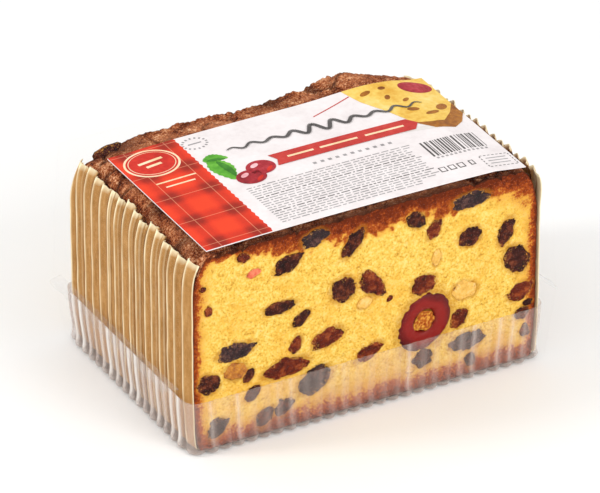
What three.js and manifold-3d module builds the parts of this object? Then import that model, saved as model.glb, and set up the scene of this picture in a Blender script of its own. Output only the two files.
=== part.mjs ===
// Pre-sliced fruit cake loaf in its pack: sixteen slices of crumb, each with its own strip of pleated
// baking paper, in a clear ribbed tray, flow-wrapped in clear film, with a label on top.
// Millimetres, +Z up. The origin is on the table under the middle of the pack. The cut face with the
// fruit looks along -Y, the width is X, and the slices follow each other along +Y.
import * as THREE from "three";
import { mergeVertices } from "three/addons/utils/BufferGeometryUtils.js";
import Module from "manifold-3d";

const wasm = await Module();
wasm.setup();

// Driving dimensions
const sliceCount = 16;
const loafDepth = 87; // from the front cut face to the back cut face
const loafHalfWidth = 66; // crumb, at mid height
const loafTop = 75.2; // crust at the shoulders
const clearance = 0.3; // between neighbouring solids
const filmThickness = 0.4;
const trayThickness = 0.5;
const paperThickness = 0.5;
const trayHeight = 20.5;
const overcut = 1; // how far a cutting body reaches past the faces it cuts

// Levels of the stack under the crumb
const trayFoot = filmThickness + clearance;
const paperFoot = trayFoot + trayThickness + clearance;
const loafFoot = paperFoot + paperThickness + clearance;
const slicePitch = loafDepth / sliceCount;
const sliceThickness = slicePitch - clearance;
const frontFace = -loafDepth / 2;

// The loaf's form
const footTaper = { depth: 2.4, height: 24 }; // how far the sides draw in towards the foot
const shoulder = { depth: 5, start: 58 }; // how far they draw in towards the crust
const footRadius = 4;
const crustDome = 0.9;
const crustHump = { x: 38, y: 38, spreadX: 15, spreadY: 13, height: 2.2 };
const crustCornerDrop = { x: 62, y: 44, spread: 11, height: 3 };

const bell = (distance) => Math.exp(-distance * distance);

function halfWidth(z) {
  const towardsFoot = Math.max(0, 1 - (z - loafFoot) / footTaper.height);
  const towardsCrust = Math.max(0, (z - shoulder.start) / (loafTop - shoulder.start));
  return loafHalfWidth - footTaper.depth * towardsFoot ** 2 - shoulder.depth * towardsCrust ** 2;
}

// How far the crust stands above loafTop.
function crustLift(x, y) {
  const reach = halfWidth(loafTop);
  const hump = bell(Math.hypot((x - crustHump.x) / crustHump.spreadX, (y - crustHump.y) / crustHump.spreadY));
  const corner = Math.hypot(Math.abs(x) - crustCornerDrop.x, y - crustCornerDrop.y);
  return (
    crustDome * Math.max(0, 1 - (x / reach) ** 2) +
    crustHump.height * hump -
    crustCornerDrop.height * bell(corner / crustCornerDrop.spread)
  );
}

// A closed geometry as a manifold-3d solid, and back.
function solidOf(geometry) {
  const bare = geometry.index ? geometry.toNonIndexed() : geometry.clone();
  bare.deleteAttribute("normal");
  bare.deleteAttribute("uv");
  const merged = mergeVertices(bare, 1e-4);
  const vertProperties = merged.attributes.position.array;
  const triVerts = new Uint32Array(merged.index.array);
  return new wasm.Manifold(new wasm.Mesh({ numProp: 3, vertProperties, triVerts }));
}

function geometryOf(solid) {
  const mesh = solid.getMesh();
  const geometry = new THREE.BufferGeometry();
  geometry.setAttribute("position", new THREE.BufferAttribute(mesh.vertProperties, 3));
  geometry.setIndex(new THREE.BufferAttribute(mesh.triVerts, 1));
  return geometry;
}

// Moves each vertex of a geometry to place(x, y, z).
function reshape(geometry, place) {
  const position = geometry.attributes.position;
  for (let i = 0; i < position.count; i += 1) {
    position.setXYZ(i, ...place(position.getX(i), position.getY(i), position.getZ(i)));
  }
  return geometry;
}

// A solid with the outline given in X and Z, from yFront to yBack.
function extrudeAlongY(outline, yFront, yBack, steps = 1) {
  const shape = new THREE.Shape(outline);
  const geometry = new THREE.ExtrudeGeometry(shape, { depth: yBack - yFront, steps, bevelEnabled: false });
  return geometry.rotateX(Math.PI / 2).translate(0, yBack, 0);
}

const block = (x0, x1, y0, y1, z0, z1) =>
  new THREE.BoxGeometry(x1 - x0, y1 - y0, z1 - z0).translate((x0 + x1) / 2, (y0 + y1) / 2, (z0 + z1) / 2);

// One side of the loaf, from the foot's rounded corner up to where the paper ends. Each station has its
// point in X and Z, its outward direction, and its share of the way up the straight side.
const sideLevels = [15, 27, 50, 62, 69, 73];

function sideStations() {
  const cornerSteps = 2;
  const stations = [];
  for (let i = 0; i <= cornerSteps; i += 1) {
    const turn = ((i / cornerSteps) * Math.PI) / 2;
    const x = halfWidth(loafFoot) - footRadius * (1 - Math.sin(turn));
    const point = new THREE.Vector2(x, loafFoot + footRadius * (1 - Math.cos(turn)));
    stations.push({ point, out: new THREE.Vector2(Math.sin(turn), -Math.cos(turn)), rise: 0 });
  }
  for (const z of sideLevels) {
    const point = new THREE.Vector2(halfWidth(z), z);
    stations.push({ point, out: new THREE.Vector2(1, 0), rise: z / loafTop });
  }
  return stations;
}

// Where the crust's section has its points, from the shoulder in to the middle.
const crustSteps = 5;
const crustStations = () =>
  Array.from({ length: crustSteps + 1 }, (_, i) => halfWidth(loafTop) * (1 - i / crustSteps));

const mirrored = (vector) => new THREE.Vector2(-vector.x, vector.y);

// The loaf's section, right side first, then the crust and the left side.
function loafOutline() {
  const right = sideStations().map((station) => station.point);
  for (const x of crustStations()) right.push(new THREE.Vector2(x, loafTop));
  return [...right, ...right.slice(0, -1).map(mirrored).reverse()];
}

function sliceGeometry(index) {
  const yFront = frontFace + index * slicePitch;
  const slab = extrudeAlongY(loafOutline(), yFront, yFront + sliceThickness);
  return reshape(slab, (x, y, z) => [x, y, z > loafTop - clearance ? z + crustLift(x, y) : z]);
}

// Fruit that shows on the front cut face: centre x and z, length, height, and tilt in degrees.
const fruitOnFront = [
  { name: "raisin_01", x: -20, z: 71, length: 10, height: 6, tilt: 10 },
  { name: "raisin_02", x: -5, z: 65, length: 12, height: 6, tilt: 50 },
  { name: "raisin_03", x: -30, z: 64, length: 11, height: 6, tilt: 22 },
  { name: "raisin_04", x: -9, z: 48, length: 10, height: 10, tilt: 30 },
  { name: "raisin_05", x: 2, z: 47, length: 12, height: 7, tilt: -52 },
  { name: "raisin_06", x: -33, z: 48, length: 12, height: 5, tilt: 0 },
  { name: "raisin_07", x: -15, z: 31, length: 12, height: 7, tilt: 12 },
  { name: "raisin_08", x: -50, z: 36, length: 14, height: 6, tilt: 2 },
  { name: "raisin_09", x: -31, z: 24, length: 17, height: 7, tilt: 5 },
  { name: "raisin_10", x: -20, z: 16, length: 14, height: 9, tilt: 22 },
  { name: "raisin_11", x: -60, z: 26, length: 9, height: 8, tilt: -30 },
  { name: "raisin_12", x: 1, z: 21, length: 11, height: 5, tilt: 28 },
  { name: "raisin_13", x: 40, z: 69, length: 14, height: 6, tilt: 0 },
  { name: "raisin_14", x: 40, z: 55, length: 9, height: 8, tilt: 0 },
  { name: "raisin_15", x: 54, z: 53, length: 11, height: 6, tilt: 68 },
  { name: "raisin_16", x: 58, z: 41, length: 12, height: 9, tilt: -62 },
  { name: "raisin_17", x: 22, z: 41, length: 10, height: 7, tilt: 12 },
  { name: "raisin_18", x: 60, z: 28, length: 10, height: 6, tilt: 30 },
  { name: "raisin_19", x: 39, z: 14, length: 13, height: 7, tilt: 0 },
  { name: "raisin_20", x: -57, z: 8, length: 9, height: 6, tilt: 40 },
  { name: "candied_peel", x: -50, z: 28, length: 9, height: 7, tilt: -10 },
];
const fruitDepth = 3.4; // of the piece left in the slice behind the cut
const fruitFacets = { around: 8, down: 4 };
const cherry = { x: 23, z: 27, width: 18, height: 20.5, tilt: -38, narrowing: 0.1, facets: 16 };
const cherryStone = { width: 6.4, height: 5.6, facets: 10 };

// A lens of fruit behind the cut face, its sides and back grown by a clearance.
function fruitSolid({ x, z, length, height, tilt }, grow) {
  const ball = new THREE.SphereGeometry(1, fruitFacets.around, fruitFacets.down)
    .scale(length / 2 + grow, fruitDepth + grow, height / 2 + grow)
    .rotateY((-tilt * Math.PI) / 180)
    .translate(x, frontFace, z);
  const past = grow > 0 ? overcut : 0;
  const [yFront, yBack] = [frontFace - past, frontFace + 2 * fruitDepth];
  const behindCut = block(-loafHalfWidth, loafHalfWidth, yFront, yBack, 0, loafTop);
  return solidOf(ball).intersect(solidOf(behindCut));
}

// A plug that runs through the front slice where the cherry is, slightly egg-shaped in section.
function throughPlug({ width, height, facets }, grow) {
  const outline = [];
  for (let i = 0; i < facets; i += 1) {
    const turn = (i / facets) * 2 * Math.PI;
    const egg = 1 - cherry.narrowing * Math.cos(turn);
    outline.push(
      new THREE.Vector2((width / 2 + grow) * Math.sin(turn) * egg, (height / 2 + grow) * Math.cos(turn)),
    );
  }
  const past = grow > 0 ? overcut : 0;
  return solidOf(
    extrudeAlongY(outline.reverse(), frontFace - past, frontFace + sliceThickness + past)
      .rotateY((-cherry.tilt * Math.PI) / 180)
      .translate(cherry.x, 0, cherry.z),
  );
}

// The front slice, with a pocket for each piece of fruit and a hole for the cherry.
function frontSliceSolid() {
  const pockets = fruitOnFront.map((fruit) => fruitSolid(fruit, clearance));
  const whole = solidOf(sliceGeometry(0)).subtract(throughPlug(cherry, clearance));
  return pockets.reduce((slice, pocket) => slice.subtract(pocket), whole);
}

// Pleats: how far each strip of paper bows out between its cut edges, left and right, in turn.
const pleatBow = { left: [1.9, 1.2, 2.1, 1.4], right: [1.5, 2.0, 1.3, 1.8] };
const pleatOpening = 1.55; // going up, how soon a pleat is at its full bow; 1 is at the crust

// The paper's line round the loaf, from the top of the left side down, under and up the right side.
function paperLine() {
  const right = sideStations();
  const left = right.map(({ point, out, rise }) => ({ point: mirrored(point), out: mirrored(out), rise }));
  return [...left.reverse(), ...right];
}

// One slice's strip of paper: a flat box, bent round the loaf and bowed out between its cut edges.
function paperGeometry(index) {
  const line = paperLine();
  const steps = line.length - 1;
  const yFront = frontFace + index * slicePitch;
  const strip = new THREE.BoxGeometry(1, 1, 1, steps, 2);
  return reshape(strip, (along, across, through) => {
    const station = line[Math.round((along + 0.5) * steps)];
    const side = along < 0 ? pleatBow.left : pleatBow.right;
    const fullness = Math.min(1, pleatOpening * station.rise);
    const bow = side[index % side.length] * fullness * (1 - (2 * across) ** 2);
    const offset = clearance + paperThickness * (0.5 - through) + bow;
    return [
      station.point.x + station.out.x * offset,
      yFront + sliceThickness * (0.5 + across),
      station.point.y + station.out.y * offset,
    ];
  });
}

// The tray: drafted walls with upright flutes all round, and a flat floor.
const tray = { halfWidth: 66.4, halfDepth: 45.2, radius: 5, draftX: 2.2, draftY: 0.5, ribDepth: 0.65 };
const ribs = { alongWidth: 25, alongDepth: 16, atCorner: 1, samples: 2 };

// Plan of the tray at floor level, with the flutes, moved inwards by inset.
function trayOutline(inset) {
  const outline = [];
  const straightX = tray.halfWidth - tray.radius;
  const straightY = tray.halfDepth - tray.radius;
  const addRun = (ribCount, place) => {
    const total = ribCount * ribs.samples;
    for (let i = 0; i < total; i += 1) {
      const flute = tray.ribDepth * (0.5 - 0.5 * Math.cos((2 * Math.PI * i) / ribs.samples));
      const { x, y, outX, outY } = place(i / total);
      outline.push(new THREE.Vector2(x + outX * (flute - inset), y + outY * (flute - inset)));
    }
  };
  for (let side = 0; side < 4; side += 1) {
    const turn = (side * Math.PI) / 2;
    const [outX, outY] = [Math.sin(turn), -Math.cos(turn)];
    const alongX = side % 2 === 0;
    const [run, out] = alongX ? [straightX, tray.halfDepth] : [straightY, tray.halfWidth];
    addRun(alongX ? ribs.alongWidth : ribs.alongDepth, (share) => ({
      x: outX * out - outY * run * (2 * share - 1),
      y: outY * out + outX * run * (2 * share - 1),
      outX,
      outY,
    }));
    const [cornerX, cornerY] = [Math.sign(outX - outY) * straightX, Math.sign(outX + outY) * straightY];
    addRun(ribs.atCorner, (share) => {
      const bend = turn + (share * Math.PI) / 2;
      const [bendX, bendY] = [Math.sin(bend), -Math.cos(bend)];
      return { x: cornerX + bendX * tray.radius, y: cornerY + bendY * tray.radius, outX: bendX, outY: bendY };
    });
  }
  return outline;
}

function traySolid() {
  const drafted = (inset, z0, z1) => {
    const plan = new THREE.Shape(trayOutline(inset));
    const upright = new THREE.ExtrudeGeometry(plan, { depth: z1 - z0, bevelEnabled: false });
    const flared = reshape(upright, (x, y, z) => {
      const rise = (z + z0 - trayFoot) / trayHeight;
      return [
        x * (1 + (tray.draftX * rise) / tray.halfWidth),
        y * (1 + (tray.draftY * rise) / tray.halfDepth),
        z + z0,
      ];
    });
    return solidOf(flared);
  };
  const outside = drafted(0, trayFoot, trayFoot + trayHeight);
  const inside = drafted(trayThickness, trayFoot + trayThickness, trayFoot + trayHeight + overcut);
  return outside.subtract(inside);
}

// The film: a flow-wrap tube round the pack, closed at both ends into a fin.
const filmFoot = { halfWidth: 67.4, level: filmThickness };
const filmFinRoot = { halfWidth: 71.6, level: 27 };
const filmShoulder = { halfWidth: 70.2, level: 60 };
const filmCorner = { halfWidth: 65.6, level: 76 };
const filmHalfDepth = 46.9;
const filmLengths = 10; // straight runs in the film from front to back
const fin = { reach: 6, thickness: 0.6, halfLength: 41, rootGap: 0.1, droopRight: 40 };
const lapSeam = { halfLength: 60, width: 0.8, y: 9 };

function filmOutline(grow) {
  const top = filmCorner.level + grow;
  const right = [
    new THREE.Vector2(filmFoot.halfWidth + grow, filmFoot.level - grow),
    new THREE.Vector2(filmFinRoot.halfWidth + grow, filmFinRoot.level),
    new THREE.Vector2(filmShoulder.halfWidth + grow, filmShoulder.level),
    new THREE.Vector2(filmCorner.halfWidth + grow, top),
  ];
  for (const x of crustStations()) right.push(new THREE.Vector2(x, top));
  return [...right, ...right.slice(0, -1).map(mirrored).reverse()];
}

function filmBody(grow) {
  const halfDepth = filmHalfDepth - filmThickness + grow;
  const tube = extrudeAlongY(filmOutline(grow), -halfDepth, halfDepth, filmLengths);
  const lifted = (x, y, z) => [x, y, z > filmCorner.level - clearance ? z + Math.max(0, crustLift(x, y)) : z];
  return solidOf(reshape(tube, lifted));
}

function filmSolid() {
  const shell = filmBody(filmThickness).subtract(filmBody(0));
  const finPlate = (droop, side) => {
    const turn = (droop * Math.PI) / 180;
    const length = fin.reach / Math.cos(turn);
    return solidOf(
      block(0, length, -fin.halfLength, fin.halfLength, -fin.thickness / 2, fin.thickness / 2)
        .rotateY(turn)
        .rotateZ(side < 0 ? Math.PI : 0)
        .translate(side * (filmFinRoot.halfWidth + fin.rootGap), 0, filmFinRoot.level),
    );
  };
  const seam = block(
    -lapSeam.halfLength,
    lapSeam.halfLength,
    lapSeam.y - lapSeam.width / 2,
    lapSeam.y + lapSeam.width / 2,
    -overcut,
    filmThickness + clearance,
  );
  return shell.add(finPlate(0, -1)).add(finPlate(fin.droopRight, 1)).subtract(solidOf(seam));
}

// The label: a stiff rectangle that lies along the film over the crust.
const label = { x0: -60, x1: 62, y0: -42.3, y1: 28.3, thickness: 0.4, lift: 0.5 };
const labelPanels = { acrossWidth: 8, acrossDepth: 6 };

function labelGeometry() {
  const sheet = new THREE.BoxGeometry(1, 1, 1, labelPanels.acrossWidth, labelPanels.acrossDepth);
  return reshape(sheet, (u, v, through) => {
    const x = label.x0 + (label.x1 - label.x0) * (u + 0.5);
    const y = label.y0 + (label.y1 - label.y0) * (v + 0.5);
    const filmTop = filmCorner.level + filmThickness + Math.max(0, crustLift(x, y));
    return [x, y, filmTop + label.lift + label.thickness * (through + 0.5)];
  });
}

const finish = (color, roughness, extra = {}) =>
  new THREE.MeshStandardMaterial({ color, roughness, metalness: 0, ...extra });
const materials = {
  crumb: () => finish(0xf2c44c, 0.9),
  paper: () => finish(0xcfa468, 0.85),
  raisin: () => finish(0x4a2318, 0.5),
  peel: () => finish(0xc9892a, 0.35),
  cherry: () => finish(0xa3161a, 0.3),
  tray: () => finish(0xf2f0ee, 0.1, { transparent: true, opacity: 0.35 }),
  film: () => finish(0xffffff, 0.08, { transparent: true, opacity: 0.15 }),
  label: () => finish(0xf4f1ee, 0.45),
};

const pack = new THREE.Group();
function addPart(name, geometry, material) {
  geometry.computeVertexNormals();
  const mesh = new THREE.Mesh(geometry, material);
  mesh.name = name;
  pack.add(mesh);
}
const numbered = (name, index) => `${name}_${String(index + 1).padStart(2, "0")}`;

addPart(numbered("slice", 0), geometryOf(frontSliceSolid()), materials.crumb());
for (let i = 1; i < sliceCount; i += 1) {
  addPart(numbered("slice", i), sliceGeometry(i), materials.crumb());
}
for (let i = 0; i < sliceCount; i += 1) {
  addPart(numbered("paper", i), paperGeometry(i), materials.paper());
}
for (const fruit of fruitOnFront) {
  const material = fruit.name.startsWith("raisin") ? materials.raisin() : materials.peel();
  addPart(fruit.name, geometryOf(fruitSolid(fruit, 0)), material);
}
const cherryRing = throughPlug(cherry, 0).subtract(throughPlug(cherryStone, clearance));
addPart("cherry", geometryOf(cherryRing), materials.cherry());
addPart("cherry_crumb", geometryOf(throughPlug(cherryStone, 0)), materials.crumb());
addPart("tray", geometryOf(traySolid()), materials.tray());
addPart("film", geometryOf(filmSolid()), materials.film());
addPart("label", labelGeometry(), materials.label());

export default pack;
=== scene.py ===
import math
import random

import bmesh
import bpy
from mathutils import Matrix, Vector, noise


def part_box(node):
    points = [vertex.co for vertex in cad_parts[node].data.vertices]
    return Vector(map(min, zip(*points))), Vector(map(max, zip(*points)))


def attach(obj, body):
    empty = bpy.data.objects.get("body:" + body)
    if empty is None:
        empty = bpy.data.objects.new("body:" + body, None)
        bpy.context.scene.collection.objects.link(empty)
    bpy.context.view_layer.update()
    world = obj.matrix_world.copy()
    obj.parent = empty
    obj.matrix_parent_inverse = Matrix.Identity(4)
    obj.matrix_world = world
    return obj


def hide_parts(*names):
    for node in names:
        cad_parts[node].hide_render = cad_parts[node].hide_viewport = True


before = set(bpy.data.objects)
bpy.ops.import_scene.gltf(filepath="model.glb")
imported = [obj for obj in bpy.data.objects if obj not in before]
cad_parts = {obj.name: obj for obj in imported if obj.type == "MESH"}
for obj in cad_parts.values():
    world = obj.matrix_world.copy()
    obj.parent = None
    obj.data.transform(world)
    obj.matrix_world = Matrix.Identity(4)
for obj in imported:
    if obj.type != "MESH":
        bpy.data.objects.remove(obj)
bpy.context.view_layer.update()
print("frame loaded:", len(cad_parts), "solids")

# Lengths below are millimetres in the row's frame. They become metres when a mesh is made.
mm = 0.001
scene = bpy.context.scene
scene.view_settings.view_transform = "Standard"
random.seed(11)


def smoothStep(low, high, value):
    share = min(1, max(0, (value - low) / (high - low)))
    return share * share * (3 - 2 * share)


def bell(distance):
    return math.exp(-distance * distance)


def wobble(x, y, z, size, seed=0):
    return noise.noise(Vector((x / size + seed, y / size - seed, z / size + 2 * seed)))


def boxInMm(node):
    low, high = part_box(node)
    return low / mm, high / mm


def colour(hexCode, alpha=1):
    parts = [int(hexCode[i:i + 2], 16) / 255 for i in (0, 2, 4)]
    linear = [part / 12.92 if part <= 0.04045 else ((part + 0.055) / 1.055) ** 2.4 for part in parts]
    return (*linear, alpha)


def numbered(name, index):
    return f"{name}_{index + 1:02d}"


# Turns a bmesh in millimetres into a piece of the object.
def addPiece(name, bm, materials, nodes=(), smooth=True):
    bmesh.ops.scale(bm, vec=(mm, mm, mm), verts=bm.verts)
    mesh = bpy.data.meshes.new(name)
    bm.to_mesh(mesh)
    bm.free()
    for material in materials if isinstance(materials, list) else [materials]:
        mesh.materials.append(material)
    if smooth:
        mesh.shade_smooth()
    piece = bpy.data.objects.new(name, mesh)
    scene.collection.objects.link(piece)
    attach(piece, "root")
    if nodes:
        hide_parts(*nodes)
    return piece


def addNode(tree, kind, settings=None, **sockets):
    node = tree.nodes.new("ShaderNode" + kind)
    for key, value in (settings or {}).items():
        setattr(node, key, value)
    for key, value in sockets.items():
        socket = node.inputs[key.replace("_", " ")]
        if isinstance(value, bpy.types.NodeSocket):
            tree.links.new(value, socket)
        else:
            socket.default_value = value
    return node


def mixColour(tree, factor, first, second, blend="MIX"):
    node = tree.nodes.new("ShaderNodeMix")
    node.data_type = "RGBA"
    node.blend_type = blend
    for index, value in ((0, factor), (6, first), (7, second)):
        if isinstance(value, bpy.types.NodeSocket):
            tree.links.new(value, node.inputs[index])
        else:
            node.inputs[index].default_value = value
    return node.outputs[2]


def mathNode(tree, operation, first, second=0.0, clamp=False):
    node = tree.nodes.new("ShaderNodeMath")
    node.operation = operation
    node.use_clamp = clamp
    for index, value in enumerate((first, second)):
        if isinstance(value, bpy.types.NodeSocket):
            tree.links.new(value, node.inputs[index])
        else:
            node.inputs[index].default_value = value
    return node.outputs[0]


def rampNode(tree, factor, stops):
    node = tree.nodes.new("ShaderNodeValToRGB")
    elements = node.color_ramp.elements
    while len(elements) < len(stops):
        elements.new(0.5)
    for element, (position, hexCode) in zip(elements, stops):
        element.position = position
        element.color = colour(hexCode)
    tree.links.new(factor, node.inputs[0])
    return node.outputs["Color"]


def attributeValue(tree, name):
    return addNode(tree, "Attribute", {"attribute_name": name}).outputs["Fac"]


def newMaterial(name, **values):
    material = bpy.data.materials.new(name)
    material.use_nodes = True
    tree = material.node_tree
    shader = tree.nodes["Principled BSDF"]
    for key, value in values.items():
        shader.inputs[key.replace("_", " ")].default_value = value
    return material, tree, shader


# Shared effect: a fine grain with a coarser mottle under it, from Object coordinates.
def makeGrainGroup():
    group = bpy.data.node_groups.new("grain", "ShaderNodeTree")
    for name, value in (("Fine Scale", 1200), ("Coarse Scale", 150), ("Coarse Share", 0.4)):
        socket = group.interface.new_socket(name, in_out="INPUT", socket_type="NodeSocketFloat")
        socket.default_value = value
    group.interface.new_socket("Mask", in_out="OUTPUT", socket_type="NodeSocketFloat")
    ins = group.nodes.new("NodeGroupInput")
    outs = group.nodes.new("NodeGroupOutput")
    place = addNode(group, "TexCoord").outputs["Object"]
    fine = addNode(group, "TexNoise", Vector=place, Scale=ins.outputs["Fine Scale"], Detail=3.0)
    coarse = addNode(group, "TexNoise", Vector=place, Scale=ins.outputs["Coarse Scale"], Detail=4.0)
    share = group.nodes.new("ShaderNodeMix")
    group.links.new(ins.outputs["Coarse Share"], share.inputs[0])
    group.links.new(fine.outputs["Fac"], share.inputs[2])
    group.links.new(coarse.outputs["Fac"], share.inputs[3])
    group.links.new(share.outputs[0], outs.inputs["Mask"])
    return group


grainGroup = makeGrainGroup()


def grainMask(tree, fine, coarse, share):
    node = tree.nodes.new("ShaderNodeGroup")
    node.node_tree = grainGroup
    node.inputs["Fine Scale"].default_value = fine
    node.inputs["Coarse Scale"].default_value = coarse
    node.inputs["Coarse Share"].default_value = share
    return node.outputs["Mask"]


def addBump(tree, shader, height, strength, distance):
    bump = addNode(tree, "Bump", Height=height, Strength=strength, Distance=distance)
    tree.links.new(bump.outputs["Normal"], shader.inputs["Normal"])


sliceLow, sliceHigh = boxInMm("slice_02")
nextLow = boxInMm("slice_03")[0]
frontLow = boxInMm("slice_01")[0]
lastHigh = boxInMm("slice_16")[1]
loaf = {
    "slices": 16,
    "front": frontLow.y,
    "back": lastHigh.y,
    "pitch": nextLow.y - sliceLow.y,
    "thickness": sliceHigh.y - sliceLow.y,
    "halfWidth": sliceHigh.x,
    "foot": sliceLow.z,
    "top": sliceHigh.z - 0.9,        # crust at the shoulders, under its dome
    "dome": 0.9,
    "footTaper": (1.6, 24),          # how far the sides draw in, over what height
    "shoulder": (5, 58),             # how far they draw in, from what level
    "footRadius": 1.8,
    "crustRadius": 3,
    "hump": (38, 38, 15, 13, 2.2),   # x, y, spread in x, spread in y, height
    "cornerDrop": (62, 44, 11, 4.5), # x, y, spread, depth
    "backCorner": (4.5, 37, 56),     # how far the back corners draw in at the top, from what y and z
    "backDrop": (1.8, 1.4, 18),      # depth along the back edge, more of it in the middle, its spread
}


def halfWidth(z):
    depth, height = loaf["footTaper"]
    towardsFoot = max(0, 1 - (z - loaf["foot"]) / height)
    shoulderDepth, start = loaf["shoulder"]
    towardsCrust = max(0, (z - start) / (loaf["top"] - start))
    return loaf["halfWidth"] - depth * towardsFoot ** 2 - shoulderDepth * towardsCrust ** 2


def crustLift(x, y):
    humpX, humpY, spreadX, spreadY, height = loaf["hump"]
    hump = height * bell(math.hypot((x - humpX) / spreadX, (y - humpY) / spreadY))
    cornerX, cornerY, spread, depth = loaf["cornerDrop"]
    drop = depth * bell(math.hypot(abs(x) - cornerX, y - cornerY) / spread)
    along, middle, middleSpread = loaf["backDrop"]
    atBack = smoothStep(28, 43, y) * (1 - smoothStep(25, 46, x))
    drop += (along + middle * bell(x / middleSpread)) * atBack
    return loaf["dome"] * max(0, 1 - (x / halfWidth(loaf["top"])) ** 2) + hump - drop


# How far a rounded corner of a given radius takes the side in, at a distance from the corner's level.
def cornerInset(radius, distance):
    if distance >= radius:
        return 0
    return radius - math.sqrt(max(0, radius ** 2 - (radius - distance) ** 2))


def backInset(y, z):
    depth, startY, startZ = loaf["backCorner"]
    return depth * smoothStep(startY, loaf["back"] + 0.5, y) * smoothStep(startZ, loaf["top"], z)


# Centre, half length, half height and tilt of a piece of fruit, read from its solid.
def fruitPlace(node):
    low, high = boxInMm(node)
    x, z = (low.x + high.x) / 2, (low.z + high.z) / 2
    points = [(v.co.x / mm - x, v.co.z / mm - z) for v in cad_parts[node].data.vertices]
    sxx, szz = sum(px * px for px, _ in points), sum(pz * pz for _, pz in points)
    sxz = sum(px * pz for px, pz in points)
    tilt = 0.5 * math.atan2(2 * sxz, sxx - szz)
    along = max(abs(px * math.cos(tilt) + pz * math.sin(tilt)) for px, pz in points)
    across = max(abs(pz * math.cos(tilt) - px * math.sin(tilt)) for px, pz in points)
    return {"x": x, "z": z, "length": along, "height": across, "tilt": tilt}


def smallFruit(x, z, length, height, tilt):
    return {"x": x, "z": z, "length": length / 2, "height": height / 2, "tilt": math.radians(tilt)}


nodeFruit = {name: fruitPlace(name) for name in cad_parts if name.startswith(("raisin", "candied"))}
cherryLow, cherryHigh = boxInMm("cherry")
cherry = {
    "x": (cherryLow.x + cherryHigh.x) / 2,
    "z": (cherryLow.z + cherryHigh.z) / 2,
    "length": 11.2,
    "height": 9.7,
    "tilt": math.radians(52),
    "stone": 3.7,
    "depth": 2.4,
}

# Smaller pieces in the front cut face: x, z, length, height, tilt in degrees.
frontScatter = {
    "raisin": [
        (-25, 41.5, 8, 4.5, 35), (-45, 25, 6, 4, 60), (19, 67, 8, 6, -35), (60.5, 19, 6, 5, 0),
        (40.5, 6.6, 5.5, 4, 90), (22, 12, 8, 7, 0), (-39, 7.4, 8.5, 6, 35), (-31.5, 8.8, 8, 5.5, 35),
        (-43.5, 17.7, 7, 4.5, 40), (62, 11.5, 5, 4, 90), (63, 22.5, 4, 2.5, 10),
    ],
    "redRaisin": [
        (26, 61.5, 8, 5, 60), (36, 24, 8.5, 6, 50), (-27, 32, 7, 4.5, 70), (-47, 71, 5, 3.6, -20),
        (-60, 54, 3.5, 3, 80), (-62, 63, 2.4, 2, 0), (9, 39.5, 2.6, 1.8, 30),
    ],
    "candied": [(38, 34.4, 10, 7, -10), (-0.6, 40.5, 6, 4, 20), (17, 9, 3, 2.4, 0), (27, 50, 6, 3.4, 80)],
    "pinkBit": [(-43, 64, 5.5, 3, 10)],
}


# The back cut face gets fruit like the front's, scattered so that no two pieces touch.
def scatterBack():
    found = {"raisin": [], "redRaisin": [], "candied": [], "pinkBit": []}
    taken = []
    wanted = ["raisin"] * 21 + ["redRaisin"] * 9 + ["candied"] * 4 + ["pinkBit"] * 2
    for kind in wanted:
        for _ in range(60):
            x, z = random.uniform(-58, 58), random.uniform(9, 69)
            length = random.uniform(6, 14) if kind == "raisin" else random.uniform(5, 9)
            if all(math.hypot(x - ox, z - oz) > (length + other) / 2 + 1.5 for ox, oz, other in taken):
                taken.append((x, z, length))
                height = length * random.uniform(0.5, 0.75)
                found[kind].append((x, z, length, height, random.uniform(-70, 70)))
                break
    return found


backScatter = scatterBack()
frontFruit = list(nodeFruit.values())
frontFruit += [smallFruit(*item) for items in frontScatter.values() for item in items]
backFruit = [smallFruit(*item) for items in backScatter.values() for item in items]


# Distance from a fruit's middle, 1 at its uneven outline.
def fruitReach(fruit, x, z):
    dx, dz = x - fruit["x"], z - fruit["z"]
    if abs(dx) > 16 or abs(dz) > 16:
        return 9
    along = dx * math.cos(fruit["tilt"]) + dz * math.sin(fruit["tilt"])
    across = dz * math.cos(fruit["tilt"]) - dx * math.sin(fruit["tilt"])
    return math.hypot(along / fruit["length"], across / fruit["height"])


crumb = {
    "gridStep": 0.55,          # between vertices on a cut face
    "crustSteps": 9,           # cuts through a slice's thickness
    "plateSize": 13,           # of the crust between its cracks
    "crackDepth": 1.2,
    "roughness": 0.6,          # height of the crust's small lumps
    "poreSize": 2.3,
    "poreDepth": 0.9,
    "pocketDepth": 1.6,        # behind the fruit
    "browned": 3.0,            # depth of the brown edge at the sides and foot
    "brownedTop": 8.5,         # depth of the brown band under the crust
    "shoulder": 7,             # height of crust down the sides
    "sag": 0.7,                # how far the foot of the front cut face has spread
    "sink": 1.1,               # and gone down
    "sagHeight": 4,
    "chars": [(-50, 44, 9), (9, 44, 7), (-58, -8, 4)],   # dark spots on the crust: x, y, spread
    "crevice": (-63, -37.5, 2.6, 2.6),  # in the crust's edge: x, y, spread, depth
}


# Crack, 0 to 1, and height of the crust's broken plates.
def crustPlates(x, y):
    warped = Vector((x + 3 * wobble(x, y, 0, 9, 3), y + 3 * wobble(x, y, 5, 9, 4), 0)) / crumb["plateSize"]
    near = noise.voronoi(warped, distance_metric="DISTANCE", exponent=2.5)[0]
    edge = near[1] - near[0]
    broken = smoothStep(-0.25, 0.25, wobble(x, y, 2, 17, 8))
    return (1 - smoothStep(0.0, 0.13, edge)) * (0.4 + 0.6 * broken), min(0.6, edge)


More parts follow.
